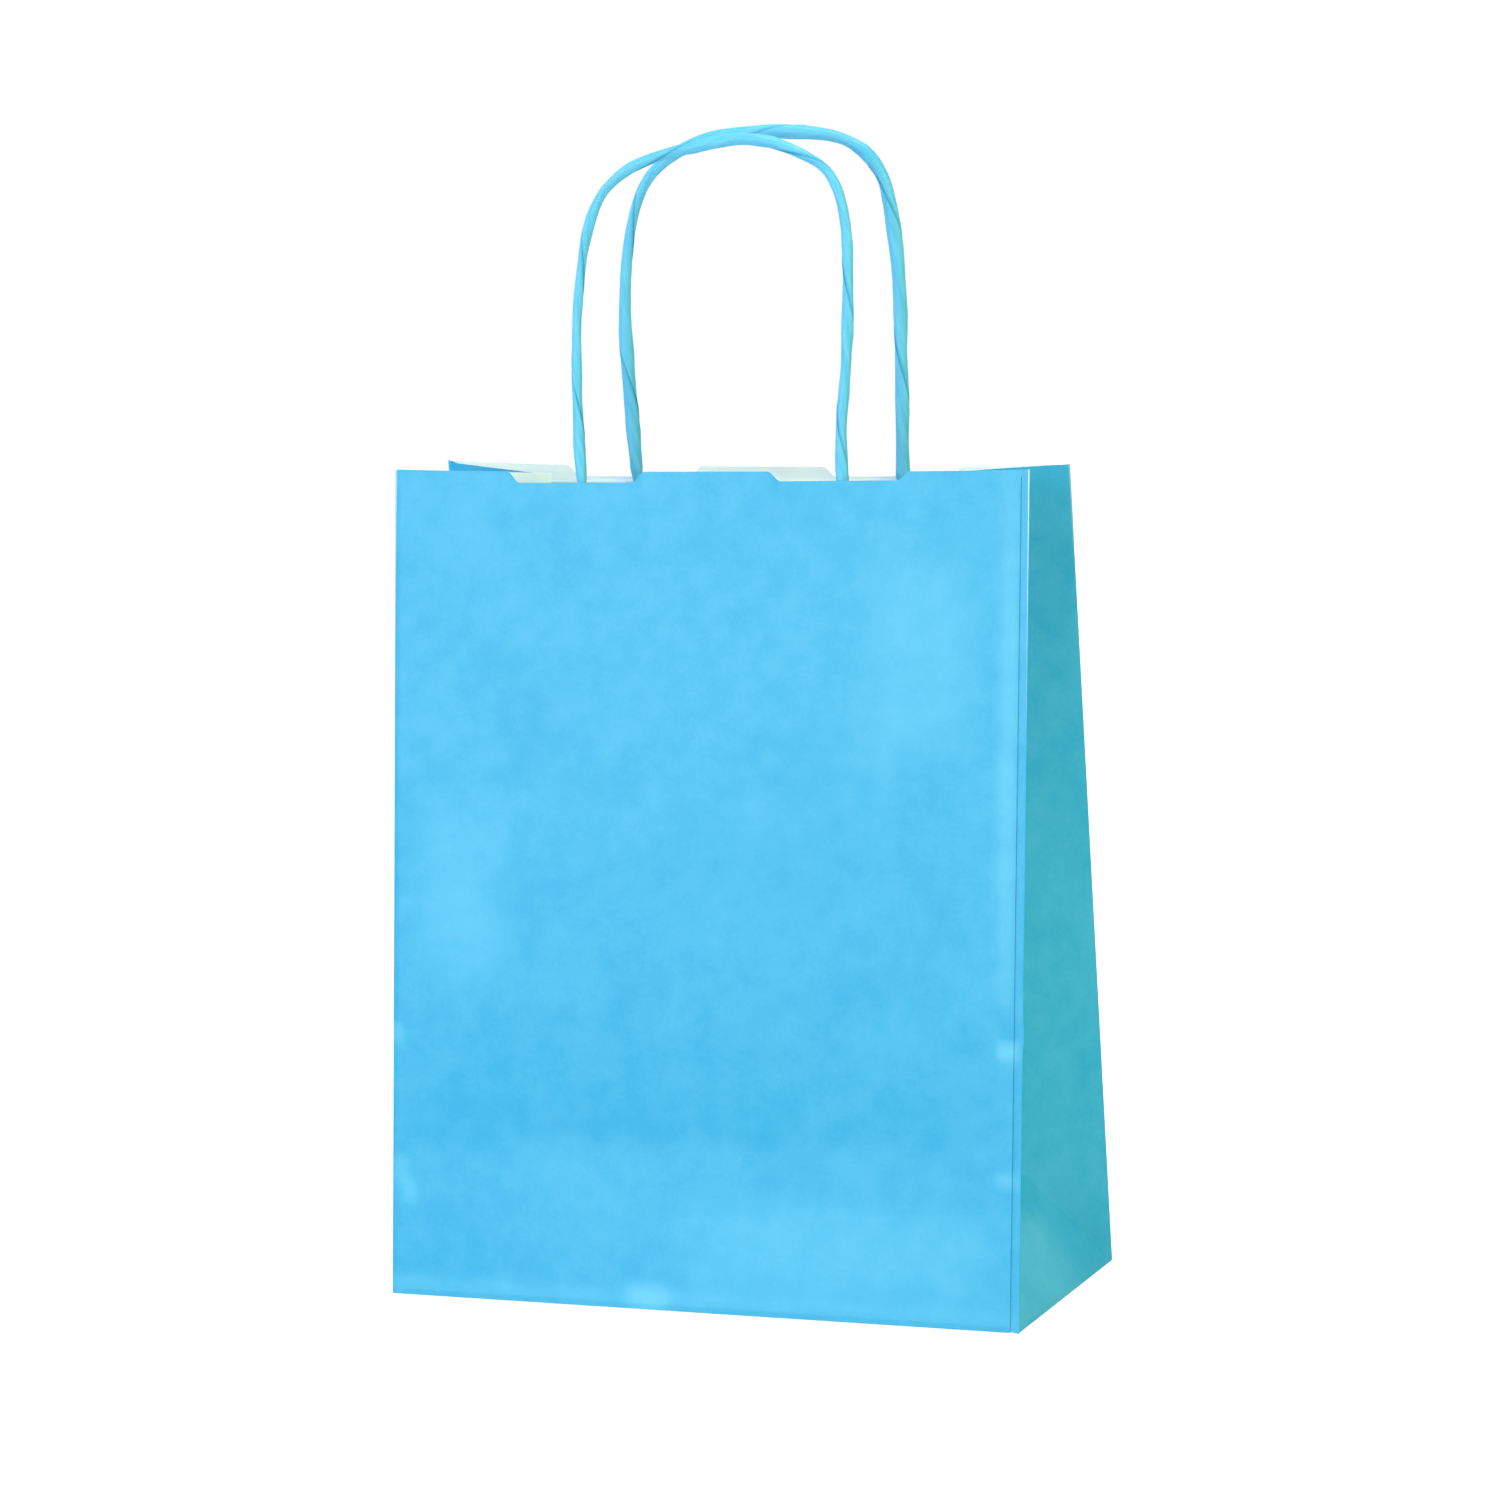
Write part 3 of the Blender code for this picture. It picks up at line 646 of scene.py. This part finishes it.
# Handle patches
# Two strips of the plain white paper inside each panel hold the cord's ends between them. They
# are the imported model's own pieces, glued on just below the notches.
for name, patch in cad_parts.items():
    if "patch" in name:
        patch.data.materials.clear()
        patch.data.materials.append(white_kraft)


# Base flaps
# Below the mitred triangles, the panels' lower ends fold under the bag as two flaps with slanted
# ends. The back one laps over the front one, and both are glued.
FLAP_OVERLAP = 0.025
FLAP_EDGE = 0.0002            # the flaps stay this far inside the base's outline
FLAP_CUTS = 5


def add_flap(name, height, y_fold, way):
    """A flap folded in from y_fold, narrowing at 45 degrees to its free edge."""
    reach = half_depth - FLAP_EDGE + FLAP_OVERLAP / 2
    half_fold = half_width - FLAP_EDGE
    bpy.ops.object.select_all(action='DESELECT')
    bpy.ops.mesh.primitive_plane_add(size=1.0, location=(0.0, y_fold + way * reach / 2, height))
    flap = bpy.context.object
    flap.name = name
    flap.scale = (2 * half_fold, reach, 1.0)
    bpy.ops.object.transform_apply(location=True, rotation=False, scale=True)
    bpy.ops.object.mode_set(mode='EDIT')
    bpy.ops.mesh.select_mode(type='EDGE')
    pick(flap, "edges", lambda edge: abs(middle(edge).y - y_fold - way * reach) < NEAR)
    bpy.ops.transform.resize(value=((half_fold - reach) / half_fold, 1.0, 1.0))
    bpy.ops.mesh.select_all(action='SELECT')
    bpy.ops.mesh.subdivide(number_cuts=FLAP_CUTS)
    bpy.ops.object.mode_set(mode='OBJECT')
    if flap.data.polygons[0].normal.z > 0.0:
        flap.data.flip_normals()
    make_printed_paper(flap)
    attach(flap, "root")


add_flap("front_base_flap", PAPER, FLAP_EDGE - half_depth, 1)
add_flap("back_base_flap", 0.0, half_depth - FLAP_EDGE, -1)


# Handle cords
# Each handle is one length of the same blue paper, rolled up tight and twisted, so its outer edge
# runs round it as a lap line. It comes up through the rim's notches, and both ends are glued down.
CORD_THICKNESS = 0.0025       # where it is pressed flat between the patches
CORD_TUCK = 0.034             # length of each end between the patches
TUCK_WIDTH = 0.0030
CORD_STEP = 0.001
CORD_SIDES = 32
FLATTENED = 0.88              # thickness of the free cord as a share of its width
FLAT_TURN = 0.6               # where round the section its flat side lies, in radians
LAP_STEP = 0.00018            # height of the rolled strip's edge
PLUMP = 1.16                  # the free cord's section over its measured width
CORD_SWELL = 0.003            # the cord is round this far above the patches
CRUMPLE = 0.05                # unevenness of the section, and its spacing round and along
CRUMPLE_ROUND = 1.6
CRUMPLE_ALONG = 45.0
CRUMPLE_BY_WIDTH = 1e4
PATCH_PAPER = 0.00025
FIT_GAP = 0.0003
CORD_AT = PAPER + PATCH_PAPER + 2 * FIT_GAP + CORD_THICKNESS / 2
FRONT_HANDLE_LEAN = math.radians(5.5)
BACK_HANDLE_LEAN = 0.0
FRONT_LAP_AT, FRONT_PITCH = 0.2175, 0.0385
BACK_LAP_AT, BACK_PITCH = 0.031, 0.044
CORD_CREASE = 0.016           # length of a crease along the cord, as drawn
CORD_CREASES_ROUND = 7.0
CORD_FIBRE = 0.0012
DEEP_CORD = "50addb"
PALE_CORD = "64b9e3"
CORD_LAP_SHADE = "3496c0"
# Each knot of a handle: across from the panel's middle, up from the foot of its notch, and the
# cord's width there
FRONT_HANDLE_KNOTS = (
    (-0.0361, 0.0, 0.0031), (-0.0370, 0.0106, 0.0030), (-0.0377, 0.0234, 0.0027),
    (-0.0379, 0.0362, 0.0026), (-0.0377, 0.0460, 0.0025), (-0.0366, 0.0585, 0.0025),
    (-0.0347, 0.0679, 0.0028), (-0.0313, 0.0758, 0.0026), (-0.0263, 0.0810, 0.0027),
    (-0.0195, 0.0848, 0.0029), (-0.0110, 0.0873, 0.0030), (-0.0025, 0.0890, 0.0032),
    (0.0055, 0.0901, 0.0032), (0.0110, 0.0902, 0.0031), (0.0177, 0.0892, 0.0030),
    (0.0245, 0.0867, 0.0029), (0.0310, 0.0831, 0.0024), (0.0343, 0.0792, 0.0025),
    (0.0366, 0.0734, 0.0027), (0.0381, 0.0650, 0.0028), (0.0387, 0.0540, 0.0028),
    (0.0387, 0.0420, 0.0031), (0.0382, 0.0300, 0.0028), (0.0373, 0.0160, 0.0029),
    (0.0373, 0.0080, 0.0032), (0.0377, 0.0, 0.0032),
)
BACK_HANDLE_KNOTS = (
    (-0.0327, 0.0, 0.0034), (-0.0333, 0.0095, 0.0036), (-0.0342, 0.0226, 0.0037),
    (-0.0349, 0.0357, 0.0036), (-0.0349, 0.0460, 0.0033), (-0.0341, 0.0580, 0.0028),
    (-0.0325, 0.0680, 0.0028), (-0.0295, 0.0770, 0.0026), (-0.0252, 0.0829, 0.0028),
    (-0.0180, 0.0879, 0.0033), (-0.0095, 0.0911, 0.0034), (-0.0010, 0.0924, 0.0036),
    (0.0080, 0.0929, 0.0037), (0.0170, 0.0925, 0.0036), (0.0250, 0.0915, 0.0033),
    (0.0305, 0.0897, 0.0031), (0.0356, 0.0862, 0.0036), (0.0398, 0.0804, 0.0033),
    (0.0418, 0.0725, 0.0038), (0.0432, 0.0610, 0.0037), (0.0439, 0.0480, 0.0036),
    (0.0440, 0.0340, 0.0034), (0.0440, 0.0200, 0.0036), (0.0437, 0.0096, 0.0036),
    (0.0437, 0.0, 0.0038),
)


def dyed_cord_paper(name):
    """Twisted paper, dyed through in a lighter blue than the print. Creases follow the twist, and
    a fine painted shade darkens the cord just under the edge of the rolled strip."""
    made = bpy.data.materials.new(name)
    made.use_nodes = True
    tree = made.node_tree
    shader = tree.nodes["Principled BSDF"]
    rolled = add_node(tree, 'ShaderNodeUVMap', uv_map="roll")
    place = add_node(tree, 'ShaderNodeTexCoord')
    stretch = add_node(tree, 'ShaderNodeMapping', {"Vector": rolled.outputs[0],
                                                   "Scale": (CORD_CREASES_ROUND,
                                                             1 / CORD_CREASE, 1.0)})
    creases = add_node(tree, 'ShaderNodeTexNoise', {"Vector": stretch.outputs[0], "Scale": 1.0,
                                                    "Detail": 2.0, "Roughness": 0.5})
    fibres = add_node(tree, 'ShaderNodeTexNoise',
                      {"Vector": place.outputs["Object"], "Scale": 1 / CORD_FIBRE,
                       "Detail": 2.0})
    tone = add_node(tree, 'ShaderNodeValToRGB', {"Fac": creases.outputs["Fac"]})
    tone.color_ramp.elements[0].position = 0.3
    tone.color_ramp.elements[0].color = paint(DEEP_CORD)
    tone.color_ramp.elements[1].position = 0.7
    tone.color_ramp.elements[1].color = paint(PALE_CORD)
    # Painted shade: the last tenth round the roll, just under the strip's edge, turns darker.
    across = add_node(tree, 'ShaderNodeSeparateXYZ', {"Vector": rolled.outputs[0]})
    edge = add_node(tree, 'ShaderNodeMapRange', {"Value": across.outputs[0], "From Min": 0.90,
                                                 "From Max": 0.99})
    shadow = add_node(tree, 'ShaderNodeMix', {"Factor": edge.outputs[0], 6: tone.outputs[0],
                                              7: paint(CORD_LAP_SHADE)}, data_type='RGBA')
    tree.links.new(shadow.outputs[2], shader.inputs["Base Color"])
    folds = add_node(tree, 'ShaderNodeBump', {"Height": creases.outputs["Fac"], "Strength": 0.5,
                                              "Distance": 0.0004})
    tooth = add_node(tree, 'ShaderNodeBump', {"Height": fibres.outputs["Fac"], "Strength": 0.25,
                                              "Distance": 0.00004, "Normal": folds.outputs[0]})
    tree.links.new(tooth.outputs[0], shader.inputs["Normal"])
    semi_matt_coat(shader)
    return made


def panel_axes(base_y, rim_y, rim_height, dip):
    """A panel's up and inward directions, and its middle at the foot of the notches."""
    rim = Vector((0.0, rim_y, rim_height - dip))
    up = (rim - Vector((0.0, base_y, base_z))).normalized()
    inward = Vector((0.0, up.z, -up.y)) if base_y < 0.0 else Vector((0.0, -up.z, up.y))
    return up, inward, rim - up * (NOTCH_DEPTH / up.z)


def smooth_line(knots):
    """Steps along a smooth line through the knots, each as across, up and width."""
    places = [Vector(knot) for knot in knots]
    padded = [places[0], *places, places[-1]]
    line = []
    for before, start, end, after in zip(padded, padded[1:], padded[2:], padded[3:]):
        count = max(1, round((end - start).length / CORD_STEP))
        for number in range(count):
            t = number / count
            line.append(start * (2 * t ** 3 - 3 * t ** 2 + 1)
                        + (end - before) / 2 * (t ** 3 - 2 * t ** 2 + t)
                        + end * (3 * t ** 2 - 2 * t ** 3)
                        + (after - start) / 2 * (t ** 3 - t ** 2))
    return line + [places[-1]]


def skin_rings(mesh, rings, lengths):
    """Closes the rings into a skin. Its UV map runs round the roll and along the cord."""
    roll = mesh.loops.layers.uv.new("roll")
    for number in range(len(rings) - 1):
        for side in range(CORD_SIDES + 1):
            next_side = (side + 1) % (CORD_SIDES + 1)
            face = mesh.faces.new((rings[number][side], rings[number][next_side],
                                   rings[number + 1][next_side], rings[number + 1][side]))
            shares = (side, side + 1, side + 1, side)
            heights = (lengths[number], lengths[number], lengths[number + 1], lengths[number + 1])
            for loop, share, height in zip(face.loops, shares, heights):
                loop[roll].uv = (share / CORD_SIDES, height)
    mesh.faces.new(rings[0])
    mesh.faces.new(reversed(rings[-1]))
    bmesh.ops.recalc_face_normals(mesh, faces=mesh.faces)


def make_cord(name, axes, knots, lean, lap_shows_at, pitch, material):
    """Rolls the cord along the handle's route. Its lap line faces forward at lap_shows_at, and
    again each pitch along."""
    up, inward, origin = axes
    foot = origin + inward * CORD_AT
    lean_up = Vector((0.0, math.sin(lean), math.cos(lean)))
    line = smooth_line(knots)
    tucks = round(CORD_TUCK / CORD_STEP)
    near_foot = foot + Vector((knots[0][0], 0.0, 0.0))
    far_foot = foot + Vector((knots[-1][0], 0.0, 0.0))
    route = [(near_foot - up * (CORD_STEP * number), TUCK_WIDTH) for number in range(tucks, 0, -1)]
    route += [(foot + Vector((spot.x, 0.0, 0.0)) + lean_up * spot.y, spot.z) for spot in line]
    route += [(far_foot - up * (CORD_STEP * number), TUCK_WIDTH) for number in range(1, tucks + 1)]

    mesh = bmesh.new()
    forward = Vector((0.0, -math.cos(lean), math.sin(lean)))
    rings = []
    travelled = 0.0
    lengths = []
    for number, (place, width) in enumerate(route):
        before = route[max(0, number - 1)][0]
        after = route[min(len(route) - 1, number + 1)][0]
        travelled += (place - before).length
        lengths.append(travelled)
        along = (after - before).normalized()
        ahead = (forward - along * forward.dot(along)).normalized()
        aside = along.cross(ahead)
        turn = -2 * math.pi * (travelled - CORD_TUCK - lap_shows_at) / pitch
        above_near_foot = (number - tucks) * CORD_STEP
        above_far_foot = (len(line) + tucks - number) * CORD_STEP
        free = share_of_one(min(above_near_foot, above_far_foot) / CORD_SWELL)
        ring = []
        for side in range(CORD_SIDES + 1):
            share = side / CORD_SIDES
            angle = 2 * math.pi * share
            crumple = noise.noise(Vector((
                math.cos(angle) * CRUMPLE_ROUND, math.sin(angle) * CRUMPLE_ROUND,
                travelled * CRUMPLE_ALONG + width * CRUMPLE_BY_WIDTH)))
            reach = width / 2 * (1.0 + (PLUMP - 1.0) * free) * (1.0 + CRUMPLE * crumple * free)
            flat = FLATTENED + (1.0 - free) * (CORD_THICKNESS / TUCK_WIDTH - FLATTENED)
            reach *= 1.0 - (1.0 - flat) * abs(math.sin(angle + FLAT_TURN))
            reach -= LAP_STEP * share
            spin = angle + turn
            ring.append(mesh.verts.new(place + (ahead * math.cos(spin) + aside * math.sin(spin))
                                       * reach))
        rings.append(ring)
    skin_rings(mesh, rings, lengths)
    data = bpy.data.meshes.new(name)
    mesh.to_mesh(data)
    mesh.free()
    cord = bpy.data.objects.new(name, data)
    scene.collection.objects.link(cord)
    data.materials.append(material)
    select_only(cord)
    bpy.ops.object.shade_smooth_by_angle(angle=math.radians(50))
    return cord


front_axes = panel_axes(-half_depth, front_rim_y, rim_z, FRONT_RIM_DIP)
back_axes = panel_axes(half_depth, back_rim_y, back_rim_z, BACK_RIM_DIP)
cord_paper = dyed_cord_paper("blue_twisted_paper")
front_cord = make_cord("front_cord", front_axes, FRONT_HANDLE_KNOTS, FRONT_HANDLE_LEAN,
                       FRONT_LAP_AT, FRONT_PITCH, cord_paper)
back_cord = make_cord("back_cord", back_axes, BACK_HANDLE_KNOTS, BACK_HANDLE_LEAN,
                      BACK_LAP_AT, BACK_PITCH, cord_paper)
for cord, node in ((front_cord, "front_handle_cord"), (back_cord, "back_handle_cord")):
    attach(cord, "root")
    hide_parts(node)
